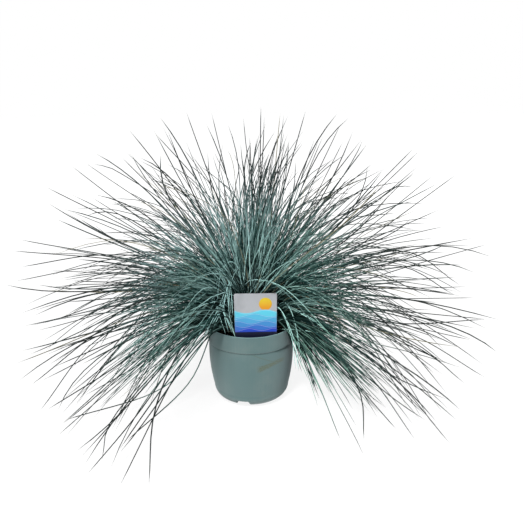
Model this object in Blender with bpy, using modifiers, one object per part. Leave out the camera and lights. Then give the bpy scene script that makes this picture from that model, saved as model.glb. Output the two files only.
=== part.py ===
"""Potted blue fescue clump: a 12 cm nursery pot with its soil, a plant label and the grass.

Metres, +Z up. The origin is the centre of the pot's base, and -Y is the front, where the label
stands. The grass is a dome-shaped crown of old leaf bases, and tufts of blades that fan out of it.
"""
import math
import random

import bmesh
import bpy
from mathutils import Matrix, Vector
from mathutils.geometry import intersect_line_line

MM = 0.001
GAP = 0.3 * MM
MERGE_DISTANCE = 0.0001
OBJECT_NAME = "Potted blue fescue"

# Pot: a 12 cm nursery pot with a rim band over a ledge, a barrelled body and a round heel
TURNED_STEPS = 36
RIM_RADIUS = 60.0 * MM
POT_HEIGHT = 108.0 * MM
RIM_BAND_HEIGHT = 23.5 * MM
RIM_EDGE = 0.6 * MM
LEDGE = 1.3 * MM
BODY_TOP_RADIUS = 58.5 * MM
HEEL_TOP_RADIUS = 52.7 * MM
HEEL_ROUND = 17.0 * MM
BARREL = 2.6 * MM
WALL = 1.6 * MM

# Drain recesses in the heel, the first of them just left of the front
RECESS_COUNT = 4
RECESS_FIRST_ANGLE = math.radians(-15.0)
RECESS_WIDTH = 19.0 * MM
RECESS_HEIGHT = 10.0 * MM
RECESS_INNER_RADIUS = 31.0 * MM
DRAIN_HOLE_RADIUS = 3.0 * MM
DRAIN_HOLE_AT = 37.5 * MM

# Soil, a little lower than the rim
SOIL_TOP = 94.0 * MM
SOIL_DOME = 1.5 * MM

# Label: a tag on a pointed stake, leaning a little back
LABEL_WIDTH = 56.5 * MM
LABEL_SHOULDER_WIDTH = 55.0 * MM
LABEL_TOP = 163.5 * MM
LABEL_SHOULDER = 100.0 * MM
LABEL_STAKE_TIP = 66.0 * MM
LABEL_STAKE_WIDTH = 14.0 * MM
LABEL_THICKNESS = 0.8 * MM
LABEL_CORNER = 2.5 * MM
LABEL_X = 6.5 * MM
LABEL_Y = -45.5 * MM
LABEL_LEAN = math.radians(3.0)

# Crown: the top of a ball of old leaf bases, seated in the soil and set back from the label
CROWN_Y = 5.0 * MM
CROWN_BALL_RADIUS = 44.0 * MM
CROWN_TOP = 113.0 * MM
CROWN_RADIUS = 37.0 * MM
CROWN_SEAT = 84.0 * MM
CROWN_STEPS = 24
CROWN_PIECES = 4

# Tufts: spread over the crown like the seeds of a sunflower, upright at the middle, drooping outside
TUFT_COUNT = 48
ROOT_SPREAD = 33.5 * MM
GOLDEN_ANGLE = math.pi * (3.0 - math.sqrt(5.0))
FIRST_ROOT_AZIMUTH = math.radians(12.0)
SHEATH_LENGTH = 30.0 * MM
SHEATH_FOOT_RADIUS = 2.8 * MM
SHEATH_TOP_RADIUS = 2.4 * MM
SHEATH_SIDES = 6
BLADE_BASE_RADIUS = 0.85 * MM
BLADE_TIP_RADIUS = 0.28 * MM
BLADE_ROOT_RING = 1.2 * MM
BLADE_ROOT_DEPTH = 5.0 * MM
BLADES_PER_TUFT = 3
BLADE_PIECES = 4
UPRIGHT_BLADE_PIECES = 3
UPRIGHT_TIP_ANGLE = math.radians(53.0)
TURN_SHARE = 0.27

# Where the tips end: a dome about the middle of the crown, wider than it is high, drawn in below
FAN_CENTRE = Vector((5.0 * MM, CROWN_Y, 100.0 * MM))
FAN_UP = 312.0 * MM
FAN_SIDE = 347.0 * MM
FAN_FRONT_CUT = 0.06
FAN_LOW_CUT = 40.0 * MM
FAN_LOW_FROM = math.radians(80.0)
TIP_ANGLE_MIDDLE = math.radians(7.0)
TIP_ANGLE_SKIRT = math.radians(110.0)
TIP_ANGLE_POWER = 1.25
SHEATH_LEAN_SHARE = 0.52
SHEATH_LEAN_MOST = math.radians(46.0)
TIP_FLOOR = 2.5 * MM

# The parting in front, where only upright blades stand behind the label
PARTING_LEFT = math.radians(28.0)
PARTING_RIGHT = math.radians(40.0)
PARTING_AT_ROOT = 0.6
PARTING_CROWDING = 1.22
PARTING_TIP_ANGLE = math.radians(20.0)
PARTING_TUFT_ANGLE_MOST = math.radians(14.0)

# How far the blades of one tuft spread and how much the tufts vary
BLADE_FAN_ANGLE = math.radians(4.6)
ROOT_JITTER = math.radians(2.0)
TUFT_AZIMUTH_JITTER = math.radians(7.0)
TUFT_TIP_JITTER = math.radians(5.0)
TUFT_REACH_LEAST = 0.94
BLADE_REACH_LEAST = 0.88
SEED = 12
TRIES = 400
LOOSER = 3.0


def clear_scene():
    for thing in list(bpy.data.objects):
        bpy.data.objects.remove(thing, do_unlink=True)


def new_collection(name):
    collection = bpy.data.collections.new(name)
    bpy.context.scene.collection.children.link(collection)
    return collection


def principled(name, colour, roughness, metallic=0.0):
    """A plain Principled material, its colour as linear RGB."""
    material = bpy.data.materials.new(name)
    material.use_nodes = True
    shader = material.node_tree.nodes["Principled BSDF"]
    shader.inputs["Base Color"].default_value = (*colour, 1.0)
    shader.inputs["Roughness"].default_value = roughness
    shader.inputs["Metallic"].default_value = metallic
    return material


def add_object(name, mesh, collection, material=None):
    thing = bpy.data.objects.new(name, mesh)
    collection.objects.link(thing)
    if material:
        mesh.materials.append(material)
    return thing


def hide_cutter(thing):
    thing.hide_render = True
    thing.display_type = "WIRE"


def smooth(mesh, angle=math.radians(35.0)):
    mesh.shade_smooth()
    mesh.set_sharp_from_angle(angle=angle)


def boolean(thing, other, operation):
    cut = thing.modifiers.new(f"{operation.lower()} {other.name}", "BOOLEAN")
    cut.operation = operation
    cut.solver = "EXACT"
    cut.object = other


def turned(name, profile, collection, material=None, steps=TURNED_STEPS):
    """A solid of revolution about Z from (radius, height) points, from its top down its outside."""
    mesh = bpy.data.meshes.new(name)
    points = [(radius, 0.0, height) for radius, height in profile]
    edges = [(i, i + 1) for i in range(len(points) - 1)]
    mesh.from_pydata(points, edges, [])
    thing = add_object(name, mesh, collection, material)
    screw = thing.modifiers.new("turn", "SCREW")
    screw.axis = "Z"
    screw.steps = steps
    screw.render_steps = steps
    screw.use_merge_vertices = True
    screw.merge_threshold = MERGE_DISTANCE
    screw.use_smooth_shade = True
    return thing


def body_radius(height):
    """The pot's outer radius between the top of its heel and its ledge."""
    share = (height - HEEL_ROUND) / (POT_HEIGHT - RIM_BAND_HEIGHT - HEEL_ROUND)
    straight = HEEL_TOP_RADIUS + (BODY_TOP_RADIUS - HEEL_TOP_RADIUS) * share
    return straight + 4.0 * BARREL * share * (1.0 - share)


def body_profile(inset, pieces=3):
    """The body from its ledge to its base, moved in by an inset on all sides."""
    ledge = POT_HEIGHT - RIM_BAND_HEIGHT
    points = []
    for i in range(pieces):
        height = ledge + (HEEL_ROUND - ledge) * i / pieces
        points.append((body_radius(height) - inset, height))
    centre = HEEL_TOP_RADIUS - HEEL_ROUND
    round_radius = HEEL_ROUND - inset
    for i in range(pieces + 1):
        turn = 0.5 * math.pi * i / pieces
        points.append((centre + round_radius * math.cos(turn), HEEL_ROUND - round_radius * math.sin(turn)))
    points.append((0.0, inset))
    return points


def wall_profile(inset, top):
    """The inside of the pot, or what fills it, from a top height down to its floor."""
    ledge = POT_HEIGHT - RIM_BAND_HEIGHT
    rim_inside = RIM_RADIUS - inset
    lower = body_profile(inset)
    step = (lower[0][0], ledge - 1.0 * MM)
    return [(0.0, top), (rim_inside, top), (rim_inside, ledge + 2.0 * MM), step] + lower[1:]


def recess_block(name, turn, grow, collection):
    """A box round one drain recess, larger than it by grow."""
    mesh = bpy.data.meshes.new(name)
    shape = bmesh.new()
    bmesh.ops.create_cube(shape, size=1.0)
    inner = RECESS_INNER_RADIUS - grow
    outer = RIM_RADIUS
    bottom = -1.0 * MM
    top = RECESS_HEIGHT + grow
    size = (RECESS_WIDTH + 2.0 * grow, outer - inner, top - bottom)
    bmesh.ops.scale(shape, vec=size, verts=shape.verts)
    bmesh.ops.translate(shape, vec=(0.0, -(inner + outer) / 2.0, (top + bottom) / 2.0), verts=shape.verts)
    shape.to_mesh(mesh)
    shape.free()
    block = add_object(name, mesh, collection)
    block.rotation_euler = (0.0, 0.0, turn)
    hide_cutter(block)
    return block


def drain_drill(name, turn, collection):
    mesh = bpy.data.meshes.new(name)
    shape = bmesh.new()
    bmesh.ops.create_cone(shape, cap_ends=True, segments=10, radius1=DRAIN_HOLE_RADIUS,
                          radius2=DRAIN_HOLE_RADIUS, depth=2.0 * RECESS_HEIGHT)
    shape.to_mesh(mesh)
    shape.free()
    drill = add_object(name, mesh, collection)
    drill.location = (DRAIN_HOLE_AT * math.sin(turn), -DRAIN_HOLE_AT * math.cos(turn), RECESS_HEIGHT)
    hide_cutter(drill)
    return drill


def recess_turns():
    return [RECESS_FIRST_ANGLE + 2.0 * math.pi * i / RECESS_COUNT for i in range(RECESS_COUNT)]


def make_pot(parts, cutters):
    """The thin-walled pot: its outer form, less a hollow that follows it, less the drain recesses."""
    plastic = principled("pot plastic", (0.147, 0.231, 0.235), 0.55)
    ledge = POT_HEIGHT - RIM_BAND_HEIGHT
    outside = [
        (0.0, POT_HEIGHT),
        (RIM_RADIUS - RIM_EDGE, POT_HEIGHT),
        (RIM_RADIUS, POT_HEIGHT - RIM_EDGE),
        (BODY_TOP_RADIUS + LEDGE, ledge + RIM_EDGE),
        (BODY_TOP_RADIUS + LEDGE - RIM_EDGE, ledge),
    ]
    pot = turned("pot", outside + body_profile(0.0), parts, plastic)
    hollow = turned("pot hollow", wall_profile(WALL, POT_HEIGHT + WALL), cutters)
    hide_cutter(hollow)
    for i, turn in enumerate(recess_turns(), start=1):
        roof = recess_block(f"recess roof {i}", turn, WALL, cutters)
        boolean(hollow, roof, "DIFFERENCE")
    boolean(pot, hollow, "DIFFERENCE")
    for i, turn in enumerate(recess_turns(), start=1):
        boolean(pot, recess_block(f"recess {i}", turn, 0.0, cutters), "DIFFERENCE")
        boolean(pot, drain_drill(f"drain hole {i}", turn, cutters), "DIFFERENCE")
    return pot


def make_soil(parts, cutters):
    """The soil that fills the pot, with seats for the crown and for the label's stake."""
    earth = principled("soil", (0.012, 0.009, 0.007), 0.95)
    filling = wall_profile(WALL + GAP, SOIL_TOP)
    filling[0] = (0.0, SOIL_TOP + SOIL_DOME)
    soil = turned("soil", filling, parts, earth)
    for i, turn in enumerate(recess_turns(), start=1):
        roof = recess_block(f"soil over recess {i}", turn, WALL + GAP, cutters)
        boolean(soil, roof, "DIFFERENCE")
    seat = turned("crown seat", [
        (0.0, CROWN_TOP),
        (CROWN_RADIUS + GAP, CROWN_TOP),
        (CROWN_RADIUS + GAP, CROWN_SEAT - GAP),
        (0.0, CROWN_SEAT - GAP),
    ], cutters, steps=CROWN_STEPS)
    seat.location = (0.0, CROWN_Y, 0.0)
    hide_cutter(seat)
    boolean(soil, seat, "DIFFERENCE")
    slot = label_plate("label slot", GAP, cutters)
    hide_cutter(slot)
    boolean(soil, slot, "DIFFERENCE")
    return soil


def label_outline(grow):
    """The label's outline as (x, height) points round a tag with cut corners and a pointed stake."""
    half_top = LABEL_WIDTH / 2.0 + grow
    half_shoulder = LABEL_SHOULDER_WIDTH / 2.0 + grow
    half_stake = LABEL_STAKE_WIDTH / 2.0 + grow
    right = [
        (half_top - LABEL_CORNER, LABEL_TOP + grow),
        (half_top - 0.3 * LABEL_CORNER, LABEL_TOP + grow - 0.3 * LABEL_CORNER),
        (half_top, LABEL_TOP + grow - LABEL_CORNER),
        (half_shoulder, LABEL_SHOULDER),
        (half_stake, LABEL_SHOULDER - 12.0 * MM),
        (half_stake * 0.8, LABEL_STAKE_TIP + 8.0 * MM),
        (1.0 * MM, LABEL_STAKE_TIP - grow),
    ]
    left = [(-x, height) for x, height in reversed(right)]
    return right + left


def label_plate(name, grow, collection, material=None):
    """The label as a flat outline with thickness, made a mesh so that it can also cut its slot."""
    curve = bpy.data.curves.new(name, "CURVE")
    curve.dimensions = "2D"
    curve.fill_mode = "BOTH"
    curve.extrude = LABEL_THICKNESS / 2.0 + grow
    spline = curve.splines.new("POLY")
    outline = label_outline(grow)
    spline.points.add(len(outline) - 1)
    for point, (x, height) in zip(spline.points, outline):
        point.co = (x, height - LABEL_SHOULDER, 0.0, 1.0)
    spline.use_cyclic_u = True
    flat = bpy.data.objects.new(name + " outline", curve)
    collection.objects.link(flat)
    mesh = welded_mesh(flat, name)
    bpy.data.objects.remove(flat, do_unlink=True)
    plate = add_object(name, mesh, collection, material)
    plate.location = (LABEL_X, LABEL_Y, LABEL_SHOULDER)
    plate.rotation_euler = (math.pi / 2.0 - LABEL_LEAN, 0.0, 0.0)
    return plate


def welded_mesh(curve_object, name):
    """A curve's evaluated mesh with its caps welded on."""
    bpy.context.view_layer.update()
    evaluated = curve_object.evaluated_get(bpy.context.evaluated_depsgraph_get())
    mesh = bpy.data.meshes.new_from_object(evaluated)
    mesh.name = name
    shape = bmesh.new()
    shape.from_mesh(mesh)
    bmesh.ops.remove_doubles(shape, verts=shape.verts, dist=MERGE_DISTANCE / 10.0)
    shape.to_mesh(mesh)
    shape.free()
    return mesh


def make_crown(parts):
    """The crown: a ball's cap over a short root that sits in the soil."""
    straw = principled("crown", (0.045, 0.055, 0.030), 0.85)
    centre = CROWN_TOP - CROWN_BALL_RADIUS
    profile = []
    edge = math.asin(CROWN_RADIUS / CROWN_BALL_RADIUS)
    for i in range(CROWN_PIECES + 1):
        tilt = edge * i / CROWN_PIECES
        profile.append((CROWN_BALL_RADIUS * math.sin(tilt), centre + CROWN_BALL_RADIUS * math.cos(tilt)))
    profile.append((CROWN_RADIUS, CROWN_SEAT))
    profile.append((0.0, CROWN_SEAT))
    crown = turned("crown", profile, parts, straw, steps=CROWN_STEPS)
    crown.location = (0.0, CROWN_Y, 0.0)
    return crown


def heading(azimuth, tilt):
    """A unit direction: azimuth 0 is the front, positive to the right, and tilt is from upright."""
    return Vector((math.sin(azimuth) * math.sin(tilt), -math.cos(azimuth) * math.sin(tilt), math.cos(tilt)))


def tip_point(azimuth, tip_angle, reach):
    """A blade's tip on the fan's dome, at a share of its reach, no lower than the floor."""
    sideways = math.sin(min(tip_angle, math.pi / 2.0)) ** 2
    low = max(tip_angle - FAN_LOW_FROM, 0.0) / (TIP_ANGLE_SKIRT - FAN_LOW_FROM)
    radius = FAN_UP + (FAN_SIDE - FAN_UP) * sideways - FAN_LOW_CUT * low
    forward = max(math.cos(azimuth), 0.0) * sideways
    tip = FAN_CENTRE + heading(azimuth, tip_angle) * radius * reach * (1.0 - FAN_FRONT_CUT * forward)
    tip.z = max(tip.z, TIP_FLOOR)
    return tip


def course_points(start, direction, tip, pieces):
    """Points on the curve that leaves start along a unit direction and soon turns toward its tip."""
    turn = start + direction * (tip - start).length * TURN_SHARE
    points = []
    for i in range(pieces + 1):
        share = i / pieces
        points.append(start.lerp(turn, share).lerp(turn.lerp(tip, share), share))
    return points


def parted(azimuth, amount):
    """Turns an azimuth out of the parting in front, closing up the rest of the circle."""
    turn = math.remainder(azimuth, 2.0 * math.pi)
    half_angle = amount * (PARTING_RIGHT if turn > 0.0 else PARTING_LEFT)
    share = (abs(turn) / math.pi) ** PARTING_CROWDING
    return math.copysign(half_angle + (math.pi - half_angle) * share, turn)


def root_on_crown(azimuth, distance):
    """Where a tuft stands on the crown's ball, and the ball's normal there."""
    normal = heading(azimuth, math.asin(distance / CROWN_BALL_RADIUS))
    centre = Vector((0.0, CROWN_Y, CROWN_TOP - CROWN_BALL_RADIUS))
    return centre + normal * CROWN_BALL_RADIUS, normal


class Tuft:
    """One tuft's layout: its foot, its sheath's direction and the courses of its blades."""

    def __init__(self, index, chance, looseness):
        share = math.sqrt((index + 0.5) / TUFT_COUNT)
        root_azimuth = FIRST_ROOT_AZIMUTH + index * GOLDEN_ANGLE
        root_azimuth += chance.uniform(-1.0, 1.0) * ROOT_JITTER * looseness
        azimuth = root_azimuth + chance.uniform(-1.0, 1.0) * TUFT_AZIMUTH_JITTER * looseness
        span = TIP_ANGLE_SKIRT - TIP_ANGLE_MIDDLE
        tip_angle = TIP_ANGLE_MIDDLE + span * share ** TIP_ANGLE_POWER
        tip_angle += chance.uniform(-1.0, 1.0) * TUFT_TIP_JITTER * looseness
        tip_angle = min(tip_angle, TIP_ANGLE_SKIRT)
        if tip_angle > PARTING_TIP_ANGLE:
            azimuth = parted(azimuth, 1.0)
            root_azimuth = parted(root_azimuth, PARTING_AT_ROOT)
        elif abs(math.remainder(azimuth, 2.0 * math.pi)) < PARTING_RIGHT:
            tip_angle = min(tip_angle, PARTING_TUFT_ANGLE_MOST)
        lean = min(tip_angle * SHEATH_LEAN_SHARE, SHEATH_LEAN_MOST)
        self.axis = heading(azimuth, lean)
        root, normal = root_on_crown(root_azimuth, share * ROOT_SPREAD)
        slant = math.sin(self.axis.angle(normal))
        rise = SHEATH_FOOT_RADIUS * slant + SHEATH_FOOT_RADIUS ** 2 / CROWN_BALL_RADIUS + GAP
        self.foot = root + normal * rise
        self.top = self.foot + self.axis * SHEATH_LENGTH
        self.courses = self.blade_courses(azimuth, tip_angle, chance)

    def blade_courses(self, azimuth, tip_angle, chance):
        courses = []
        turn = chance.uniform(0.0, 2.0 * math.pi)
        across = self.axis.orthogonal().normalized()
        beside = self.axis.cross(across)
        reach = chance.uniform(TUFT_REACH_LEAST, 1.0)
        pieces = UPRIGHT_BLADE_PIECES if tip_angle < UPRIGHT_TIP_ANGLE else BLADE_PIECES
        for i in range(BLADES_PER_TUFT):
            ring_turn = turn + 2.0 * math.pi * i / BLADES_PER_TUFT
            offset = across * math.cos(ring_turn) + beside * math.sin(ring_turn)
            start = self.top - self.axis * BLADE_ROOT_DEPTH + offset * BLADE_ROOT_RING
            toward = (self.axis + offset * math.tan(BLADE_FAN_ANGLE)).normalized()
            fan = heading(azimuth, tip_angle) + offset * math.tan(BLADE_FAN_ANGLE)
            blade_azimuth = math.atan2(fan.x, -fan.y)
            blade_angle = min(fan.angle(Vector((0.0, 0.0, 1.0))), TIP_ANGLE_SKIRT)
            share = reach * chance.uniform(BLADE_REACH_LEAST, 1.0) if i else reach
            tip = tip_point(blade_azimuth, blade_angle, share)
            courses.append(course_points(start, toward, tip, pieces))
        return courses

    def lines(self):
        """Every straight piece of the tuft with its thickness, for the tests of clearance."""
        found = [(self.foot, self.top, SHEATH_FOOT_RADIUS)]
        for course in self.courses:
            found += [(a, b, BLADE_BASE_RADIUS) for a, b in zip(course, course[1:])]
        return found


def nearest_distance(a, b, c, d):
    """The distance between the segments ab and cd."""
    best = min(point_to_segment(a, c, d), point_to_segment(b, c, d),
               point_to_segment(c, a, b), point_to_segment(d, a, b))
    crossing = intersect_line_line(a, b, c, d)
    if crossing is None:
        return best
    on_first, on_second = crossing
    within_first = 0.0 <= (on_first - a).dot(b - a) <= (b - a).length_squared
    within_second = 0.0 <= (on_second - c).dot(d - c) <= (d - c).length_squared
    if within_first and within_second:
        return min(best, (on_first - on_second).length)
    return best


def point_to_segment(point, a, b):
    along = (point - a).dot(b - a) / (b - a).length_squared
    return (point - a - (b - a) * min(max(along, 0.0), 1.0)).length


def clear_of_others(tuft, others):
    for a, b, thickness in tuft.lines():
        for other in others:
            for c, d, other_thickness in other.lines():
                if nearest_distance(a, b, c, d) < thickness + other_thickness + GAP:
                    return False
    return True


def clear_of_pot_and_label(tuft, margin=1.0 * MM):
    """Whether no blade or sheath touches the pot, the label, the crown or the floor."""
    for a, b, thickness in tuft.lines():
        room = thickness + margin
        pieces = 24
        for i in range(pieces + 1):
            point = a.lerp(b, i / pieces)
            from_axis = math.hypot(point.x, point.y)
            by_wall = RIM_RADIUS - 2.0 * WALL - room < from_axis < RIM_RADIUS + room
            if by_wall and point.z < POT_HEIGHT + room:
                return False
            behind = (point.z - LABEL_SHOULDER) * math.tan(LABEL_LEAN)
            by_label = abs(point.y - LABEL_Y - behind) < room and point.z < LABEL_TOP + room
            if by_label and abs(point.x - LABEL_X) < LABEL_WIDTH / 2.0 + room:
                return False
            if point.z < min(TIP_FLOOR, room) * 0.5:
                return False
    return True


def lay_out_tufts():
    """Lays out every tuft, trying each again, ever more loosely, until it clears the rest."""
    tufts = []
    for index in range(TUFT_COUNT):
        for attempt in range(TRIES):
            chance = random.Random(SEED + index * TRIES + attempt)
            tuft = Tuft(index, chance, 1.0 + LOOSER * attempt / TRIES)
            if clear_of_pot_and_label(tuft) and clear_of_others(tuft, tufts):
                tufts.append(tuft)
                break
        else:
            raise RuntimeError(f"tuft {index + 1} finds no room")
    return tufts


def blades_mesh(name, courses, collection):
    """The tuft's blades as tapering four-sided curves, made one mesh."""
    curve = bpy.data.curves.new(name, "CURVE")
    curve.dimensions = "3D"
    curve.bevel_depth = BLADE_BASE_RADIUS
    curve.bevel_resolution = 0
    curve.use_fill_caps = True
    for course in courses:
        spline = curve.splines.new("POLY")
        spline.points.add(len(course) - 1)
        for i, (point, place) in enumerate(zip(spline.points, course)):
            share = i / (len(course) - 1)
            point.co = (*place, 1.0)
            point.radius = 1.0 + (BLADE_TIP_RADIUS / BLADE_BASE_RADIUS - 1.0) * share
    wires = bpy.data.objects.new(name + " courses", curve)
    collection.objects.link(wires)
    mesh = welded_mesh(wires, name)
    bpy.data.objects.remove(wires, do_unlink=True)
    return mesh


def make_tuft(name, tuft, material, parts, cutters):
    """One tuft: a sheath with its blades grown out of the sheath's top."""
    mesh = bpy.data.meshes.new(name)
    shape = bmesh.new()
    bmesh.ops.create_cone(shape, cap_ends=True, segments=SHEATH_SIDES, radius1=SHEATH_FOOT_RADIUS,
                          radius2=SHEATH_TOP_RADIUS, depth=SHEATH_LENGTH)
    bmesh.ops.translate(shape, vec=(0.0, 0.0, SHEATH_LENGTH / 2.0), verts=shape.verts)
    stand = Matrix.Translation(tuft.foot) @ tuft.axis.to_track_quat("Z", "Y").to_matrix().to_4x4()
    bmesh.ops.transform(shape, matrix=stand, verts=shape.verts)
    shape.to_mesh(mesh)
    shape.free()
    smooth(mesh, math.radians(70.0))
    thing = add_object(name, mesh, parts, material)
    blades = add_object(name + " blades", blades_mesh(name + " blades", tuft.courses, cutters), cutters)
    hide_cutter(blades)
    boolean(thing, blades, "UNION")
    return thing


def make_label(parts):
    card = principled("label card", (0.60, 0.62, 0.60), 0.45)
    return label_plate("label", 0.0, parts, card)


def make_tufts(parts, cutters):
    leaf = principled("blades", (0.110, 0.215, 0.205), 0.60)
    for number, tuft in enumerate(lay_out_tufts(), start=1):
        make_tuft(f"tuft_{number:02d}", tuft, leaf, parts, cutters)


def main():
    clear_scene()
    parts = new_collection(OBJECT_NAME)
    cutters = new_collection("Cutters")
    make_pot(parts, cutters)
    make_soil(parts, cutters)
    make_label(parts)
    make_crown(parts)
    make_tufts(parts, cutters)


main()
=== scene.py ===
"""Looks of the potted blue fescue, laid out as an add-on and run as a script.

Every blade of the clump is modelled. Each tuft's blades grow from where its CAD solid stands, and
three of them lead to the tips of that solid. The pot and the label replace their plainer solids.
"""

import math
from functools import partial
from itertools import islice
from typing import NamedTuple

import bmesh
import bpy
import numpy as np
from bpy.props import FloatProperty, FloatVectorProperty, IntProperty, PointerProperty
from mathutils import Matrix, Vector


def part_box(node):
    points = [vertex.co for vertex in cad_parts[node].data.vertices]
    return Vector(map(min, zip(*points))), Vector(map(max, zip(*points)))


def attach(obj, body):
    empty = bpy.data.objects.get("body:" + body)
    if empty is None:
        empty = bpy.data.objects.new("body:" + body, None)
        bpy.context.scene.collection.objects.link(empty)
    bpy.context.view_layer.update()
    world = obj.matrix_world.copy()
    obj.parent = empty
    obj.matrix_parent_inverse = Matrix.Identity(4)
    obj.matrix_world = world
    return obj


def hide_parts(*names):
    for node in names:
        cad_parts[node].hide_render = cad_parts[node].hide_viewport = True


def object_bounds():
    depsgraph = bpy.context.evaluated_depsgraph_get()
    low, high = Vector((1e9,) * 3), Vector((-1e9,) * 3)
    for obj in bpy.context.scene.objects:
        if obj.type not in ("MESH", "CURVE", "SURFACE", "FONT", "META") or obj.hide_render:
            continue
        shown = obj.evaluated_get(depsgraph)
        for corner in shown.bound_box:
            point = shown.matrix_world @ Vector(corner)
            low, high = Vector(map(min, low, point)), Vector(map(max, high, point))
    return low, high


bl_info = {
    "name": "Potted Blue Fescue",
    "version": (1, 0, 0),
    "blender": (4, 5, 0),
    "location": "3D View > Sidebar > Fescue",
    "description": "Grows a clump of blue fescue in its pot and gives every surface its finish",
    "category": "Add Mesh",
}

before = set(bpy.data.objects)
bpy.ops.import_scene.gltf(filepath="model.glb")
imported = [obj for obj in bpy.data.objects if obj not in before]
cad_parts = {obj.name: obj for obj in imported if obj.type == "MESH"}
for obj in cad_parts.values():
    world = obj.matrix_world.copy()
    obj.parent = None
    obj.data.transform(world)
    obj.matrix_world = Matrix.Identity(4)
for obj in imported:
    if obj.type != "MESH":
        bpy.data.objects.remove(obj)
CAD_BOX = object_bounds()
MM = 0.001

POT_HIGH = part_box("pot")[1]
SOIL_CREST = 95.5 * MM
CROWN_LOW, CROWN_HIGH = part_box("crown")
CROWN_MIDDLE = (CROWN_LOW + CROWN_HIGH) / 2.0
CROWN_BALL = 44.0 * MM
CROWN_BALL_CENTRE = np.array([0.0, 5.0 * MM, CROWN_HIGH.z - CROWN_BALL])
TUFTS = sorted(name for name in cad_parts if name.startswith("tuft_"))

# The label: its middle at the shoulders, its heights and its lean
LABEL_LOW, LABEL_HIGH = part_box("label")
LABEL_X = 6.5 * MM
LABEL_Y = -45.5 * MM
LABEL_NECK = 88.0 * MM
LABEL_SHOULDER = 100.0 * MM
LABEL_HEAD = 163.5 * MM
LABEL_LEAN = math.radians(3.0)


def length(name, description, default):
    return FloatProperty(name=name, description=description, default=default, unit="LENGTH", precision=5)


def angle(name, description, degrees):
    return FloatProperty(name=name, description=description, default=math.radians(degrees), unit="ROTATION")


def share(name, description, default):
    return FloatProperty(name=name, description=description, default=default, min=0.0, max=1.0,
                         subtype="FACTOR")


def colour(name, description, default):
    return FloatVectorProperty(name=name, description=description, default=default, size=3,
                               min=0.0, max=1.0, subtype="COLOR")


def number(name, description, default):
    return IntProperty(name=name, description=description, default=default, min=0)


def power(name, description, default):
    return FloatProperty(name=name, description=description, default=default, unit="POWER")


class PotSettings(bpy.types.PropertyGroup):
    """Sizes and colours of the nursery pot."""

    band_height: length("Rim band", "Height of the band under the rim", 23.5 * MM)
    ledge: length("Ledge", "How far the rim band stands out over the body", 1.3 * MM)
    heel_radius: length("Heel radius", "Radius of the body where it turns in to the base", 52.7 * MM)
    heel_round: length("Heel round", "Radius of the rounding between body and base", 17.0 * MM)
    barrel: length("Barrel", "How far the body bulges past a straight cone", 2.6 * MM)
    wall: length("Wall", "Thickness of the moulded wall", 1.6 * MM)
    recess_width: length("Recess width", "Width of each drain recess round the base", 19.0 * MM)
    recess_height: length("Recess height", "Height of each drain recess", 10.0 * MM)
    recess_turn: angle("First recess", "Where the first drain recess is, from the front", -15.0)
    plastic: colour("Plastic", "Colour of the moulded plastic", (0.070, 0.138, 0.138))
    dust: colour("Dust", "Colour of the dust and dried water marks", (0.30, 0.31, 0.27))
    smear: colour("Smear", "Colour of the smear of earth on the body", (0.070, 0.085, 0.035))


class LabelSettings(bpy.types.PropertyGroup):
    """Sizes and print colours of the plant label."""

    corner: length("Corner", "Rounding of the upper corners", 2.5 * MM)
    bow: length("Bow", "How far the card bows forward at its middle", 0.7 * MM)
    paper: colour("Ground", "Colour of the unprinted card", (0.40, 0.41, 0.43))
    sun: colour("Sun", "Colour of the printed disc", (0.62, 0.47, 0.02))
    near_hill: colour("Near hills", "Colour of the lowest printed band", (0.01, 0.05, 0.42))
    far_hill: colour("Far hills", "Colour of the highest printed band", (0.10, 0.50, 0.62))
    foot: colour("Foot strip", "Colour of the strip along the foot of the print", (0.006, 0.008, 0.030))


class CompostSettings(bpy.types.PropertyGroup):
    """The potting compost and its loose crumbs."""

    crumbs: number("Crumbs", "Loose crumbs on the compost", 620)
    peat: colour("Peat", "Colour of the damp peat", (0.0065, 0.0055, 0.0045))
    bark: colour("Bark", "Colour of the dry bark bits", (0.040, 0.026, 0.016))


class GrassSettings(bpy.types.PropertyGroup):
    """How the blades of the clump grow, and their colours."""

    blades: number("Blades", "Blades in a level tuft", 90)
    rings: number("Rings", "Cross-sections along each blade", 12)
    width: length("Width", "Width of a full-grown blade", 1.12 * MM)
    foot_spread: length("Foot spread", "How far a tuft's blades stand apart on the crown", 9.0 * MM)
    spread: angle("Spread", "How far a tuft's blades stray from the tuft's own direction", 16.0)
    wild_spread: angle("Wild spread", "How far the few wild blades stray", 30.0)
    wild: share("Wild blades", "Share of the blades that stray far", 0.26)
    sway: share("Sway", "Sideways bow of a blade as a share of its length", 0.075)
    arch: share("Arch", "Highest lift of a blade's middle as a share of its length", 0.17)
    dry: share("Dry blades", "Share of the blades that have dried to straw", 0.03)
    old_leaves: number("Old leaves", "Old leaf bases round the crown", 560)
    bloom: colour("Bloom", "Colour of the waxy bloom on a blade", (0.400, 0.625, 0.615))
    green: colour("Green", "Colour of the bloom on the greener side", (0.280, 0.500, 0.410))
    leaf: colour("Leaf", "Colour of a blade under its bloom", (0.016, 0.060, 0.053))
    tip: colour("Tip", "Colour of the thin outer part of a blade", (0.021, 0.023, 0.022))
    # Base is the colour of painted shade: blades and green old leaves deep in the clump by the crown, and
    # patches of the crown, are painted with it.
    base: colour("Base", "Colour of a blade near the crown", (0.0015, 0.010, 0.0085))
    straw: colour("Straw", "Colour of a dry blade", (0.30, 0.27, 0.16))
    thatch: colour("Thatch", "Colour of the old leaf bases", (0.060, 0.042, 0.024))


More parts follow.
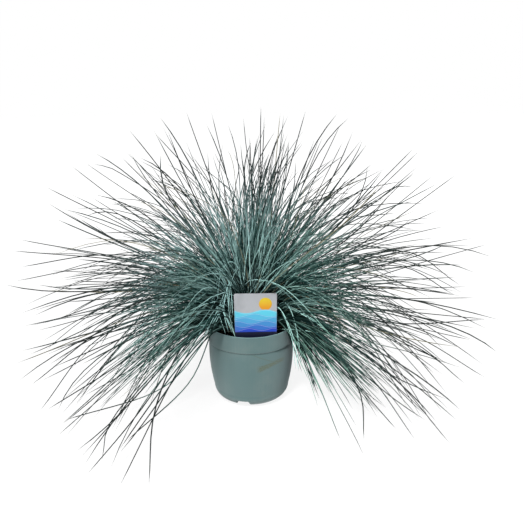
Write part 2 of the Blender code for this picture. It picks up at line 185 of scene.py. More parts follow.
class StageSettings(bpy.types.PropertyGroup):
    """The camera, the floor and the light."""

    camera_height: length("Camera height", "Height of the camera over the floor", 435.36 * MM)
    camera_back: length("Camera distance", "How far in front of the pot the camera stands", 815.68 * MM)
    pitch: angle("Pitch", "How far the camera looks down", 16.518)
    yaw: angle("Yaw", "How far the camera looks to the right", 1.151)
    roll: angle("Roll", "How far the camera is rolled", -0.5)
    focal_length: FloatProperty(name="Focal length", description="For a sensor 36 mm wide", default=43.077,
                                unit="CAMERA")
    floor: colour("Floor", "Colour of the floor", (0.15, 0.15, 0.15))
    sky: colour("Surround", "Colour of the light from all sides", (0.26, 0.27, 0.28))
    key_power: power("Key light", "Power of the soft light from above", 62.0)
    fill_power: power("Fill light", "Power of each low light", 10.0)
    back_power: power("Back light", "Power of the light behind", 26.0)


def operator(operation, swapped=False):
    """The method behind an operator sign."""
    def method(value, other):
        terms = (other, value) if swapped else (value, other)
        return value.paint.sum(operation, *terms)
    return method


class Value:
    """A socket that takes part in sums: each operator adds its Math node."""

    def __init__(self, paint, socket):
        self.paint = paint
        self.socket = socket

    def __neg__(self):
        return self * -1.0

    def __abs__(self):
        return self.paint.sum("ABSOLUTE", self)

    __add__ = __radd__ = operator("ADD")
    __sub__ = operator("SUBTRACT")
    __rsub__ = operator("SUBTRACT", swapped=True)
    __mul__ = __rmul__ = operator("MULTIPLY")
    __truediv__ = operator("DIVIDE")
    __pow__ = operator("POWER")


class Paint:
    """One material and the nodes that vary it over a surface."""

    def __init__(self, name, roughness, specular):
        self.material = bpy.data.materials.new(name)
        self.material.use_nodes = True
        self.tree = self.material.node_tree
        self.shader = self.tree.nodes["Principled BSDF"]
        self.give("Roughness", roughness)
        self.give("Specular IOR Level", specular)
        self.give("Diffuse Roughness", 1.0)

    def node(self, kind, settings=None, inputs=None, output=0):
        """Adds a node, its settings first and then its sockets' values or links."""
        node = self.tree.nodes.new("ShaderNode" + kind)
        for key, setting in (settings or {}).items():
            setattr(node, key, setting)
        for key, given in (inputs or {}).items():
            self.feed(node.inputs[key], given)
        return Value(self, node.outputs[output])

    def feed(self, socket, given):
        if isinstance(given, Value):
            self.tree.links.new(given.socket, socket)
        elif socket.type == "RGBA" and len(given) == 3:
            socket.default_value = (*given, 1.0)
        else:
            socket.default_value = given

    def sum(self, operation, *terms):
        return self.node("Math", {"operation": operation}, dict(enumerate(terms)))

    def give(self, socket_name, given):
        self.feed(self.shader.inputs[socket_name], given)

    def mix(self, factor, first, second):
        """Blends two colours, from the first at factor 0 to the second at factor 1."""
        return self.node("Mix", {"data_type": "RGBA"}, {0: factor, 6: first, 7: second}, output=2)

    def rise(self, value, low, high):
        """Climbs smoothly from 0 to 1 while the value goes from low to high."""
        settings = {"interpolation_type": "SMOOTHSTEP"}
        return self.node("MapRange", settings, {"Value": value, "From Min": low, "From Max": high})

    def attribute(self, name):
        return self.node("Attribute", {"attribute_name": name}, output="Fac")

    def place(self):
        """The point on the surface in metres."""
        return self.node("TexCoord", output="Object")

    def parts(self, vector):
        """The three numbers of a vector."""
        split = self.node("SeparateXYZ", inputs={0: vector})
        return [Value(self, socket) for socket in split.socket.node.outputs]

    def joined(self, x, y, z):
        return self.node("CombineXYZ", inputs={0: x, 1: y, 2: z})

    def noise(self, place, scale, detail=3.0, roughness=0.55):
        inputs = {"Vector": place, "Scale": scale, "Detail": detail, "Roughness": roughness}
        return self.node("TexNoise", inputs=inputs)

    def finished(self, tone, roughness, height, strength, distance):
        """The material, once it has its colour, its roughness and its relief."""
        self.give("Base Color", tone)
        self.give("Roughness", roughness)
        relief = {"Height": height, "Strength": strength, "Distance": distance}
        self.give("Normal", self.node("Bump", inputs=relief))
        return self.material


def scaled(colour, factor):
    return tuple(factor * part for part in colour)


def linked(name, data):
    """A new object in the scene."""
    thing = bpy.data.objects.new(name, data)
    bpy.context.scene.collection.objects.link(thing)
    return thing


def plain_object(name, make, **sizes):
    """A new object that a function shapes in a bmesh."""
    shape = bmesh.new()
    make(shape, **sizes)
    mesh = bpy.data.meshes.new(name)
    shape.to_mesh(mesh)
    shape.free()
    return linked(name, mesh)


def new_piece(name, mesh, material, slot, *replaced):
    """Adds a finished piece, which rides on the plant and stands for the nodes that it replaces."""
    piece = linked(name, mesh)
    mesh.materials.append(material)
    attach(piece, "root")
    if replaced:
        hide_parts(*replaced)
    return piece


def refinish(name, material):
    """Gives its finish to a CAD solid that is shown as it is."""
    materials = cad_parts[name].data.materials
    materials.clear()
    materials.append(material)


def new_mesh(name, places, faces):
    mesh = bpy.data.meshes.new(name)
    mesh.from_pydata(np.asarray(places).tolist(), [], [list(face) for face in faces])
    mesh.update()
    mesh.shade_smooth()
    return mesh


def joined_rows(first, second):
    """Four-sided faces between two rows of points."""
    return np.stack([first[:-1], second[:-1], second[1:], first[1:]], axis=-1).tolist()


def unit(vectors):
    return vectors / np.maximum(np.linalg.norm(vectors, axis=-1, keepdims=True), 1e-12)


# Pot


def body_radius(pot, height):
    """The pot's outer radius between the top of its heel and its ledge."""
    top = POT_HIGH.x - pot.ledge - 0.2 * MM
    part = (height - pot.heel_round) / (POT_HIGH.z - pot.band_height - pot.heel_round)
    return pot.heel_radius + (top - pot.heel_radius) * part + 4.0 * pot.barrel * part * (1.0 - part)


def heel_course(pot, inset, steps):
    """The rounding from the body to the base, as radius and height, moved in by an inset."""
    course = []
    for i in range(steps + 1):
        turn = 0.5 * math.pi * i / steps
        out = pot.heel_round - inset
        centre = pot.heel_radius - pot.heel_round
        course.append((centre + out * math.cos(turn), pot.heel_round - out * math.sin(turn)))
    return course


def pot_outside(pot):
    """The outside of the pot from the crest of its rim down to the middle of its base."""
    rim, top = POT_HIGH.x, POT_HIGH.z
    ledge = top - pot.band_height
    edge = 0.55 * MM
    course = [(rim - edge + edge * math.sin(turn), top - edge + edge * math.cos(turn))
              for turn in np.linspace(0.0, math.pi / 2.0, 6)]
    course += [(rim - 0.2 * MM * part, top + (ledge + 0.9 * MM - top) * part) for part in (0.12, 0.5, 0.9)]
    step = rim - 0.2 * MM
    course += [(step, ledge + 0.7 * MM), (step - 0.15 * MM, ledge + 0.3 * MM), (step - 0.5 * MM, ledge)]
    under = step - pot.ledge
    course += [(under - 0.35 * MM, ledge - 0.1 * MM), (under - 0.3 * MM, ledge - 0.6 * MM)]
    course += [(body_radius(pot, height), height)
               for height in np.linspace(ledge - 1.4 * MM, pot.heel_round + 1.0 * MM, 18)]
    course += heel_course(pot, 0.0, 22)
    base = course[-1][0]
    course += [(base * part, 0.0) for part in (0.97, 0.94, 0.91, 0.88, 0.85, 0.82, 0.7, 0.4)]
    return course


def pot_inside(pot):
    """The inside of the pot from the middle of its floor up to the crest of its rim."""
    rim, top = POT_HIGH.x, POT_HIGH.z
    ledge = top - pot.band_height
    course = [(0.15 * pot.heel_radius, pot.wall)]
    course += reversed(heel_course(pot, pot.wall, 10))
    course += [(body_radius(pot, height) - pot.wall, height)
               for height in np.linspace(pot.heel_round + 4.0 * MM, ledge - 2.0 * MM, 8)]
    inner = rim - pot.wall
    course += [(inner, ledge + 2.0 * MM), (inner, top - 3.0 * MM)]
    edge = 0.45 * MM
    course += [(inner + edge - edge * math.cos(turn), top - edge + edge * math.sin(turn))
               for turn in np.linspace(0.0, math.pi / 2.0, 5)]
    return course


def lift_over_recesses(pot, places, is_inner):
    """Raises the base over each drain recess, with soft shoulders like a moulding's."""
    away = np.hypot(places[:, 0], places[:, 1])
    turn = np.arctan2(places[:, 0], -places[:, 1])
    grow = np.where(is_inner, pot.wall, 0.0)
    for i in range(4):
        past = turn - pot.recess_turn - i * math.pi / 2.0
        apart = np.arctan2(np.sin(past), np.cos(past))
        beside = np.abs(away * np.sin(apart)) - grow
        across = soft_step((pot.recess_width / 2.0 + 0.8 * MM - beside) / (2.0 * MM))
        inward = soft_step((away - 30.6 * MM + grow) / (2.2 * MM))
        ahead = np.abs(apart) < math.pi / 2.0
        roof = (pot.recess_height + grow) * across * inward * ahead
        places[:, 2] = np.maximum(places[:, 2], roof)


def soft_step(part):
    part = np.clip(part, 0.0, 1.0)
    return part * part * (3.0 - 2.0 * part)


def pot_mesh(pot):
    """A closed turned body from the course of its outside and then its inside."""
    steps = 288
    outside = pot_outside(pot)
    course = np.array(outside + pot_inside(pot))
    turns = np.linspace(0.0, 2.0 * math.pi, steps, endpoint=False)
    radius, height = course[:, 0:1], course[:, 1:2]
    places = np.stack([radius * np.sin(turns), -radius * np.cos(turns),
                       np.broadcast_to(height, (len(course), steps))], axis=-1).reshape(-1, 3)
    lift_over_recesses(pot, places, np.repeat(np.arange(len(course)) >= len(outside), steps))
    rings = np.arange(len(places)).reshape(-1, steps)
    loops = np.hstack([rings, rings[:, :1]])
    last = len(outside) - 1
    faces = [rings[last].tolist(), rings[last + 1, ::-1].tolist()]
    for row in range(-1, len(course) - 1):
        if row != last:
            faces += joined_rows(loops[row], loops[row + 1])
    return new_mesh("pot_shell", places, faces)


def make_pot(pot):
    piece = new_piece("pot_shell", pot_mesh(pot), pot_plastic(pot), "pot_plastic", "pot")
    drill_drain_holes(pot, piece)
    piece.data.set_sharp_from_angle(angle=math.radians(50.0))


def add_drills(shape, pot):
    """A round rod through the roof of each drain recess."""
    reach, radius = 37.5 * MM, 3.0 * MM
    for i in range(4):
        turn = pot.recess_turn + i * math.pi / 2.0
        middle = Vector((reach * math.sin(turn), -reach * math.cos(turn), pot.recess_height + 0.8 * MM))
        bmesh.ops.create_cone(shape, cap_ends=True, segments=28, radius1=radius, radius2=radius,
                              depth=8.0 * MM, matrix=Matrix.Translation(middle))


def drill_drain_holes(pot, piece):
    """Cuts a round hole through the roof of each drain recess."""
    drills = plain_object("drills", add_drills, pot=pot)
    cut = piece.modifiers.new("drain holes", "BOOLEAN")
    cut.solver = "EXACT"
    cut.object = drills
    bpy.context.view_layer.update()
    undrilled = piece.data
    drilled = bpy.data.meshes.new_from_object(piece.evaluated_get(bpy.context.evaluated_depsgraph_get()))
    piece.modifiers.clear()
    piece.data = drilled
    bpy.data.meshes.remove(undrilled)
    bpy.data.objects.remove(drills, do_unlink=True)


def pot_plastic(pot):
    """Matt moulded plastic with dust, faint water runs and a smear of earth, with painted shade under the
    ledge and a painted highlight along the crest of the rim.
    """
    paint = Paint("pot plastic", roughness=0.5, specular=0.3)
    paint.give("Sheen Weight", 0.4)
    paint.give("Sheen Roughness", 0.6)
    place = paint.place()
    x, y, z = paint.parts(place)
    turn = paint.sum("ARCTAN2", x, -y)
    clouds = paint.noise(place, 22.0, detail=4.0)
    speckle = paint.noise(place, 900.0, detail=2.0)
    runs = paint.noise(paint.joined(turn * 30.0, z * 9.0, 0.0), 1.0, detail=3.0)
    dust = paint.rise(clouds + runs * 0.25, 0.60, 0.95) * 0.14
    low_dirt = paint.rise(clouds * 14.0 * MM - z, -10.0 * MM, 6.0 * MM) * 0.16
    tone = paint.mix(dust + low_dirt, pot.plastic, pot.dust)
    tone = paint.mix(paint.rise(speckle, 0.45, 0.8) * 0.10, tone, scaled(pot.plastic, 0.6))
    # Painted shade: a dark line painted along the crease under the ledge.
    near_ledge = abs(z - (POT_HIGH.z - pot.band_height - 0.3 * MM))
    painted_ledge_shade = paint.rise(-near_ledge, -0.9 * MM, -0.25 * MM) * 0.45
    tone = paint.mix(painted_ledge_shade, tone, scaled(pot.plastic, 0.35))
    # Painted highlight: the crest of the rim is painted lighter than the plastic, where light catches it.
    painted_rim_highlight = paint.rise(z, POT_HIGH.z - 0.8 * MM, POT_HIGH.z - 0.2 * MM) * 0.6
    tone = paint.mix(painted_rim_highlight, tone, scaled(pot.plastic, 1.9))
    tone = paint.mix(smear_mask(paint, turn, z, clouds), tone, pot.smear)
    roughness = 0.44 + clouds * 0.16 + dust * 0.3
    grain = paint.noise(place, 2600.0, detail=1.0)
    return paint.finished(tone, roughness, grain + clouds * 0.8, 0.12, 0.15 * MM)


def smear_mask(paint, turn, z, clouds):
    """A slanting smear on the body's right, thickest at its lower end, broken up by noise."""
    along = (turn - 0.12) / 0.82
    line = 59.0 * MM + paint.rise(along, -0.1, 0.75) * 8.0 * MM + clouds * 3.0 * MM
    width = paint.rise(along, -0.03, 0.12) * paint.rise(1.0 - along, 0.0, 0.3)
    fleck = paint.noise(paint.joined(turn * 60.0, z * 500.0, 0.0), 1.0, detail=4.0)
    band = paint.rise(4.4 * MM - along * 2.6 * MM - abs(z - line), -1.4 * MM, 1.2 * MM)
    scratch_line = 83.0 * MM - (turn - 0.02) * 27.0 * MM
    scratch = paint.rise(0.7 * MM - abs(z - scratch_line), -0.3 * MM, 0.4 * MM)
    scratch = scratch * paint.rise(turn, 0.0, 0.08) * paint.rise(0.62 - turn, 0.0, 0.1)
    return paint.sum("MAXIMUM", band * width * paint.rise(fleck, 0.30, 0.60) * 0.85, scratch * 0.4)


# Label


def label_half_widths(label, heights):
    """Half of the label's width at each height, over its stake, its shoulders and its rounded corners."""
    half_head = (LABEL_HIGH.x - LABEL_LOW.x) / 2.0
    marks = (LABEL_LOW.z, LABEL_NECK, LABEL_SHOULDER, LABEL_HEAD)
    halves = np.interp(heights, marks, (1.0 * MM, 7.0 * MM, half_head - 0.75 * MM, half_head))
    over = np.maximum(heights - (LABEL_HEAD - label.corner), 0.0)
    return halves - label.corner + np.sqrt(np.maximum(label.corner ** 2 - over ** 2, 0.0))


def label_mesh(label):
    """The card as four sheets from front to back, the outer two a little smaller for a rounded edge."""
    corner = LABEL_HEAD - label.corner
    heights = np.concatenate([
        np.linspace(LABEL_LOW.z + 0.2 * MM, LABEL_NECK, 8, endpoint=False),
        np.linspace(LABEL_NECK, LABEL_SHOULDER, 5, endpoint=False),
        np.linspace(LABEL_SHOULDER, corner, 16, endpoint=False),
        corner + label.corner * np.sin(np.linspace(0.0, math.pi / 2.0, 9)),
    ])
    halves = label_half_widths(label, heights)
    sheets = []
    for depth, inset in ((-0.4, 0.18), (-0.2, 0.0), (0.2, 0.0), (0.4, 0.18)):
        levels = heights.copy()
        levels[-1] -= inset * MM
        across = np.outer(halves - inset * MM, np.linspace(-1.0, 1.0, 15))
        sheets.append(np.stack(np.broadcast_arrays(across, levels[:, None], depth * MM), axis=-1))
    flat = np.concatenate(sheets).reshape(-1, 3)
    bow = -label.bow * (1.0 - (flat[:, 0] / (28.0 * MM)) ** 2) * soft_step((flat[:, 1] - 0.1) / 0.06)
    rise = flat[:, 1] - LABEL_SHOULDER
    depth = flat[:, 2] + bow
    places = np.stack([
        LABEL_X + flat[:, 0],
        LABEL_Y + rise * math.sin(LABEL_LEAN) + depth * math.cos(LABEL_LEAN),
        LABEL_SHOULDER + rise * math.cos(LABEL_LEAN) - depth * math.sin(LABEL_LEAN),
    ], axis=-1)
    front = np.arange(across.size).reshape(across.shape)
    back = front + 3 * front.size
    faces = []
    for row in range(len(heights) - 1):
        faces += joined_rows(front[row + 1], front[row])
        faces += joined_rows(back[row], back[row + 1])
    rim = np.concatenate([front[:, -1], front[-1, -2::-1], front[-2::-1, 0], front[0, 1:]])
    for sheet in (0, 1, 2):
        faces += joined_rows(rim + sheet * front.size, rim + (sheet + 1) * front.size)
    mesh = new_mesh("label_card", places, faces)
    add_point_values(mesh, across=flat[:, 0], up=flat[:, 1])
    mesh.set_sharp_from_angle(angle=math.radians(60.0))
    return mesh


def add_point_values(mesh, **values):
    for name, numbers in values.items():
        layer = mesh.attributes.new(name, "FLOAT", "POINT")
        layer.data.foreach_set("value", np.ascontiguousarray(numbers, dtype=np.float32))


def label_print(label):
    """A plain landscape print: a disc over wavy bands, on a pale ground with a dark foot strip."""
    paint = Paint("label print", roughness=0.42, specular=0.45)
    across = paint.attribute("across") / MM
    up = paint.attribute("up") / MM
    place = paint.place()
    paper = paint.noise(place, 60.0)
    worn = paint.rise(paper + up * 0.004, 0.75, 1.35)
    shade = paint.mix(worn, label.paper, scaled(label.paper, 0.86))
    disc = paint.sum("SQRT", (across - 13.0) ** 2.0 + (up - 149.0) ** 2.0)
    glow = paint.mix(paint.rise(up, 138.0, 158.0), (0.60, 0.22, 0.01), label.sun)
    shade = paint.mix(paint.rise(8.6 - disc, -0.3, 0.3), shade, glow)
    bands = 6
    for k in range(bands):
        part = k / (bands - 1.0)
        crest = 139.0 - 4.9 * k + (2.3 - 0.15 * k) * paint.sum("SINE", across * (0.13 + 0.012 * k) + 1.9 * k)
        tone = tuple(f + (n - f) * part for f, n in zip(label.far_hill, label.near_hill))
        shade = paint.mix(paint.rise(crest - up, -0.2, 0.2), shade, tone)
        line = paint.rise(0.35 - abs(crest - up - 0.9), 0.0, 0.3) * 0.6
        shade = paint.mix(line, shade, tuple(0.45 + 0.55 * c for c in tone))
    shade = paint.mix(paint.rise(110.5 - up, -0.15, 0.15), shade, label.foot)
    edge = paint.rise(abs(across) - 27.4, 0.0, 0.3)
    shade = paint.mix(edge * paint.rise(up, 100.0, 101.0) * 0.7, shade, label.paper)
    return paint.finished(shade, 0.36 + paper * 0.16, paint.noise(place, 700.0), 0.06, 0.1 * MM)


def make_label(label):
    new_piece("label_card", label_mesh(label), label_print(label), "label_card", "label")


# Compost


def compost_paint(compost):
    """Damp dark peat with dry bark bits and fibres."""
    paint = Paint("compost", roughness=0.95, specular=0.2)
    place = paint.place()
    clods = paint.noise(place, 260.0, detail=6.0, roughness=0.7)
    bits = paint.node("TexVoronoi", {"feature": "F1"}, {"Vector": place, "Scale": 420.0}, output="Distance")
    dry = paint.rise(clods, 0.5, 0.72) * paint.rise(bits, 0.55, 0.2)
    tone = paint.mix(dry, compost.peat, compost.bark)
    return paint.finished(tone, 0.98 - dry * 0.2, clods + bits * -0.6, 0.9, 1.6 * MM)


def make_compost(compost):
    """Gives the compost its finish and strews crumbs over what shows of it."""
    paint = compost_paint(compost)
    refinish("soil", paint)
    shape = bmesh.new()
    bmesh.ops.create_icosphere(shape, subdivisions=1, radius=1.0)
    ball = np.array([v.co for v in shape.verts])
    ball_faces = np.array([[v.index for v in face.verts] for face in shape.faces])
    shape.free()
    chance = np.random.default_rng(5)
    places, faces = [], []
    inner = POT_HIGH.x - 3.4 * MM
    while len(places) < compost.crumbs:
        x, y = chance.uniform(-inner, inner, 2)
        size = 0.6 * MM + 2.1 * MM * chance.random() ** 3.0
        if math.hypot(x, y) > inner - size or near_label(x, y, 1.2 * MM + size):
            continue
        dome = SOIL_CREST - 1.5 * MM * math.hypot(x, y) / inner
        lump = ball * size * chance.uniform(0.55, 1.25, 3)
        lump = lump * (1.0 + chance.uniform(-0.25, 0.25, (len(ball), 1)))
        turn = np.array(Matrix.Rotation(chance.uniform(0.0, 6.28), 3, "Z"))
        faces.append(ball_faces + len(ball) * len(places))
        places.append(lump @ turn.T + (x, y, dome + 0.3 * size))
    mesh = new_mesh("compost_crumbs", np.concatenate(places), np.concatenate(faces))
    new_piece("compost_crumbs", mesh, paint, "soil")


def near_label(x, y, room):
    return abs(x - LABEL_X) < 28.5 * MM + room and abs(y - LABEL_Y + 0.1 * MM) < 0.6 * MM + room


# Blades


def read_tuft(node):
    """Where a tuft's solid stands, its sheath's direction and the tips of its leading blades."""
    places = np.unique(np.round([vertex.co for vertex in node.data.vertices], 6), axis=0)
    from_crown = np.linalg.norm(places - CROWN_BALL_CENTRE, axis=1)
    foot = places[np.argsort(from_crown)[:6]].mean(axis=0)
    away = np.linalg.norm(places - foot, axis=1)
    sheath_length, tip_width, tip_room = 30.0 * MM, 0.62 * MM, 2.0 * MM
    sheath_top = places[np.abs(away - sheath_length) < 1.0 * MM].mean(axis=0)
    far = places[away > 0.5 * away.max()]
    tips = []
    for place in far[np.argsort(-np.linalg.norm(far - foot, axis=1))]:
        ring = far[np.linalg.norm(far - place, axis=1) < tip_width]
        apart = all(np.linalg.norm(place - tip) > tip_room for tip in tips)
        if len(ring) >= 4 and apart:
            tips.append(ring.mean(axis=0))
    return foot, unit(sheath_top - foot), np.array(tips[:3])


def full_courses(starts, ways, tips, turn_shares):
    """Dense courses that leave straight along a sheath and then turn early toward their tips."""
    sheath = 25.0 * MM
    tops = starts + ways * sheath
    reach = np.linalg.norm(tips - tops, axis=1, keepdims=True)
    corners = tops + ways * reach * turn_shares[:, None]
    part = np.linspace(0.0, 1.0, 30)[None, :, None]
    first = tops[:, None] * (1.0 - part) + corners[:, None] * part
    second = corners[:, None] * (1.0 - part) + tips[:, None] * part
    curve = first * (1.0 - part) + second * part
    stem = starts[:, None] + ways[:, None] * sheath * np.linspace(0.0, 1.0, 4, endpoint=False)[None, :, None]
    return np.concatenate([stem, curve], axis=1)


def resampled(courses, parts, count):
    """The first part of each course as evenly spaced points."""
    result = np.empty((len(courses), count, 3))
    for row, (course, part) in enumerate(zip(courses, parts)):
        pieces = np.linalg.norm(np.diff(course, axis=0), axis=1)
        gone = np.concatenate([[0.0], np.cumsum(pieces)])
        wanted = np.linspace(0.0, gone[-1] * part, count)
        for axis in range(3):
            result[row, :, axis] = np.interp(wanted, gone, course[:, axis])
    return result


def rotated(courses, axes, turns):
    """Each course turned about its start by its own axis and angle."""
    pivots = courses[:, :1]
    arms = courses - pivots
    axes = axes[:, None]
    cosines, sines = np.cos(turns)[:, None, None], np.sin(turns)[:, None, None]
    turned = arms * cosines + np.cross(axes, arms) * sines
    turned += axes * np.sum(axes * arms, axis=2, keepdims=True) * (1.0 - cosines)
    return pivots + turned


def arched(courses, chance, amount):
    """Lifts the middle of each blade by its own share of its length, so that it arches over."""
    part = np.linspace(0.0, 1.0, courses.shape[1])
    long = np.linalg.norm(courses[:, -1] - courses[:, 0], axis=1)
    lift = long * amount * (chance.random(len(courses)) * 1.25 - 0.25)
    return courses + np.array([0.0, 0.0, 1.0]) * (lift[:, None] * np.sin(math.pi * part))[..., None]


def swayed(courses, chance, amount):
    """Adds a slow sideways bow and a slight ripple that no two blades share."""
    count = courses.shape[1]
    part = np.linspace(0.0, 1.0, count)[None, :, None]
    chord = courses[:, -1:] - courses[:, :1]
    long = np.linalg.norm(chord, axis=2, keepdims=True)
    sideways = chance.normal(size=(len(courses), 1, 3))
    sideways = unit(sideways - chord * np.sum(sideways * chord, axis=2, keepdims=True) / long ** 2)
    other = unit(np.cross(sideways, chord))
    bow = chance.normal(size=(len(courses), 1, 1)) * amount * long
    ripple = chance.normal(size=(len(courses), 1, 1)) * 0.22 * amount * long
    phase = chance.uniform(0.0, 6.28, (len(courses), 1, 1))
    return courses + sideways * bow * part ** 2 + other * ripple * np.sin(phase + 7.0 * part) * part


def clear_of_solids(courses):
    """Which courses keep out of the pot, the label, the compost and the floor, and in the box."""
    fine = resampled(courses, np.ones(len(courses)), 90)
    x, y, z = np.moveaxis(fine, -1, 0)
    away = np.hypot(x, y) - POT_HIGH.x
    in_pot = (away < 0.9 * MM) & (z < SOIL_CREST - 0.5 * MM)
    in_wall = (away < 0.9 * MM) & (away > -2.3 * MM) & (z < POT_HIGH.z + 0.8 * MM)
    at_label = (np.abs(x - LABEL_X) < 29.0 * MM) & (z > 60.0 * MM) & (z < LABEL_HEAD + 1.1 * MM)
    gap = y - LABEL_Y - (z - LABEL_SHOULDER) * math.tan(LABEL_LEAN)
    by_label = at_label & (np.abs(gap) < 1.5 * MM)
    through_label = at_label[:, 1:] & (gap[:, 1:] * gap[:, :-1] < 0.0)
    room = 16.0 * MM
    outside = (fine < np.array(CAD_BOX[0]) - room) | (fine > np.array(CAD_BOX[1]) + room)
    bad = in_pot | in_wall | by_label | (z < 1.2 * MM) | outside.any(axis=-1)
    return ~(bad.any(axis=1) | through_label.any(axis=1))


def clear_of_gap(courses):
    """Which courses keep out of the dark gap round the label, where only fallen blades lie."""
    x, y, z = np.moveaxis(courses, -1, 0) / MM
    over_rim = (x > -47.0) & (x < 44.0) & (y < -30.0) & (z < 150.0)
    return ~over_rim.any(axis=1)


def gathered(batches, wanted, look):
    """The first blades of a run of batches, as many as wanted, with their widths, shades and dryness."""
    bundle, kept = [], 0
    for batch in islice(batches, 40):
        courses, *traits = [values[:wanted - kept] for values in batch]
        bundle.append((courses, *look(len(courses), *traits)))
        kept += len(courses)
        if kept == wanted:
            return [np.concatenate(rows) for rows in zip(*bundle)]
    raise RuntimeError("a bunch finds too little room for its blades")


def fresh_look(chance, grass, count, tints, stoutness):
    """Widths, shades about the blades' tints, and some of the blades dry."""
    shades = np.clip(tints + chance.uniform(-0.45, 0.45, count), 0.0, 1.0)
    dryness = np.where(chance.random(count) < grass.dry, chance.uniform(0.5, 1.0, count), 0.0)
    widths = stoutness * grass.width * chance.uniform(0.8, 1.12, count) * np.where(dryness > 0.0, 0.8, 1.0)
    return widths, shades, dryness


def tuft_batches(foot, axis, tips, chance, grass):
    """The blades that lead to the solid's tips, then batches of shorter ones about them."""
    bunches = chance.normal(size=(7, 3)) * 0.55 * grass.spread * chance.uniform(0.5, 1.3)
    shortness = chance.uniform(3.2, 6.0)
    tint = chance.uniform(0.3, 0.7)
    courses = leading_courses(foot, axis, tips, chance, grass)
    courses = courses[clear_of_solids(courses)]
    parts = np.ones(len(courses))
    yield courses, tint - 0.2 + 0.4 * parts, 1.6 * parts
    while True:
        courses, parts = strewn_courses(foot, axis, tips, chance, grass, bunches, shortness)
        is_clear = clear_of_solids(courses) & clear_of_gap(courses)
        courses, parts = courses[is_clear], parts[is_clear]
        # Shorter blades stand inside the clump and get darker tints, partly the darker green of older leaves
        # and partly painted shade.
        yield courses, tint - 0.2 + 0.4 * parts, 0.68 + 0.45 * parts


def feet_about(foot, axis, out, chance):
    """Feet strewn round a tuft's own, and the directions in which their sheaths fan out."""
    ring = chance.uniform(0.0, 2.0 * math.pi, len(out))
    across = unit(np.cross(axis, (0.3, 0.2, 1.0)))
    beside = np.cross(axis, across)
    offsets = across * (np.cos(ring) * out)[:, None] + beside * (np.sin(ring) * out)[:, None]
    return foot + offsets - axis * 2.0 * MM, unit(axis + offsets / (60.0 * MM))


def leading_courses(foot, axis, tips, chance, grass):
    """The longest blades of a tuft, each bowed in its own way but ending at the solid's tip."""
    count = len(tips)
    starts, ways = feet_about(foot, axis, grass.foot_spread * 0.3 * chance.random(count), chance)
    courses = resampled(full_courses(starts, ways, tips, chance.uniform(0.20, 0.34, count)),
                        np.ones(count), grass.rings + 1)
    long = np.linalg.norm(courses[:, -1:] - courses[:, :1], axis=2, keepdims=True)
    bow = chance.normal(size=(count, 1, 3)) * grass.sway * 0.7 * long
    part = np.linspace(0.0, 1.0, grass.rings + 1)[None, :, None]
    return courses + bow * np.sin(math.pi * part ** 1.3) * part


def strewn_courses(foot, axis, tips, chance, grass, bunches, shortness):
    """A batch of the other blades, each with its own lean, length and curve."""
    count = 3 * grass.blades
    starts, ways = feet_about(foot, axis, grass.foot_spread * np.sqrt(chance.random(count)), chance)
    ways = unit(ways + chance.normal(size=(count, 3)) * 0.17)
    ends = chance.dirichlet(np.ones(len(tips)), count) @ tips
    courses = full_courses(starts, ways, ends, chance.uniform(0.14, 0.42, count))
    parts = 0.20 + 0.80 * chance.random(count) ** shortness
    courses = resampled(courses, parts, grass.rings + 1)
    wild = chance.random((count, 1)) < grass.wild
    turns = bunches[chance.integers(len(bunches), size=count)]
    stray = np.where(wild, 0.55 * grass.wild_spread, 0.2 * grass.spread)
    turns = np.where(wild, 0.0, turns) + chance.normal(size=(count, 3)) * stray
    courses = rotated(courses, unit(turns), np.linalg.norm(turns, axis=1))
    return swayed(arched(courses, chance, grass.arch), chance, grass.sway), parts


def blade_mesh(name, courses, widths, shades, dryness):
    """Every blade as a tapering three-sided needle with its own strip of the map."""
    blades, points = courses.shape[:2]
    rings = points - 1
    part = np.linspace(0.0, 1.0, points)
    along = unit(np.gradient(courses, axis=1))
    bend = np.cross(along[:, 0], along[:, -1])
    spare = np.cross(along[:, 0], (0.31, 0.17, 0.93))
    flat = np.linalg.norm(bend, axis=1, keepdims=True) < 0.05
    binormal = unit(np.where(flat, spare, bend))[:, None]
    side = unit(binormal - along * np.sum(binormal * along, axis=2, keepdims=True))
    up = np.cross(along, side)
    taper = (0.75 + 0.25 * np.minimum(part / 0.12, 1.0)) * (1.0 - 0.4 * part ** 8)
    half = 0.5 * widths[:, None] * taper[None, :]
    roll = (shades * 40.0)[:, None] + part[None, :] * 1.4
    corners = []
    for k in range(3):
        turn = roll + 2.0 * math.pi * k / 3.0
        across, above = (half * np.cos(turn))[..., None], (half * np.sin(turn))[..., None]
        corners.append(courses + side * across + up * above)
    tube = np.stack(corners, axis=2)[:, :rings].reshape(blades, rings * 3, 3)
    places = np.concatenate([tube, courses[:, -1:]], axis=1)
    per_blade = rings * 3 + 1
    faces, map_places = one_blade(rings)
    starts = np.arange(blades) * per_blade
    all_faces = [tuple(corner + start for corner in face) for start in starts for face in faces]
    mesh = new_mesh(name, places.reshape(-1, 3), all_faces)
    height = np.concatenate([np.repeat(part[:rings], 3), [1.0]])
    add_point_values(mesh, along=np.tile(height, blades), shade=np.repeat(shades, per_blade),
                     dry=np.repeat(dryness, per_blade))
    lay_strips(mesh, map_places, blades)
    return mesh


def one_blade(rings):
    """A blade's faces, and where each face's corners lie in its strip of the map."""
    faces, map_places = [], []
    heights = np.linspace(0.015, 0.985, rings + 1)
    for i, (low, high) in enumerate(zip(heights, heights[1:])):
        for k in range(3):
            a, b = 3 * i + k, 3 * i + (k + 1) % 3
            left, right = k / 3.0, (k + 1) / 3.0
            if i < rings - 1:
                faces.append((a, b, b + 3, a + 3))
                map_places += [(left, low), (right, low), (right, high), (left, high)]
            else:
                faces.append((a, b, 3 * rings))
                map_places += [(left, low), (right, low), ((left + right) / 2.0, high)]
    faces.append((2, 1, 0))
    map_places += [(1.0, 0.0135), (0.5, 0.0), (0.0, 0.0135)]
    return faces, np.array(map_places)


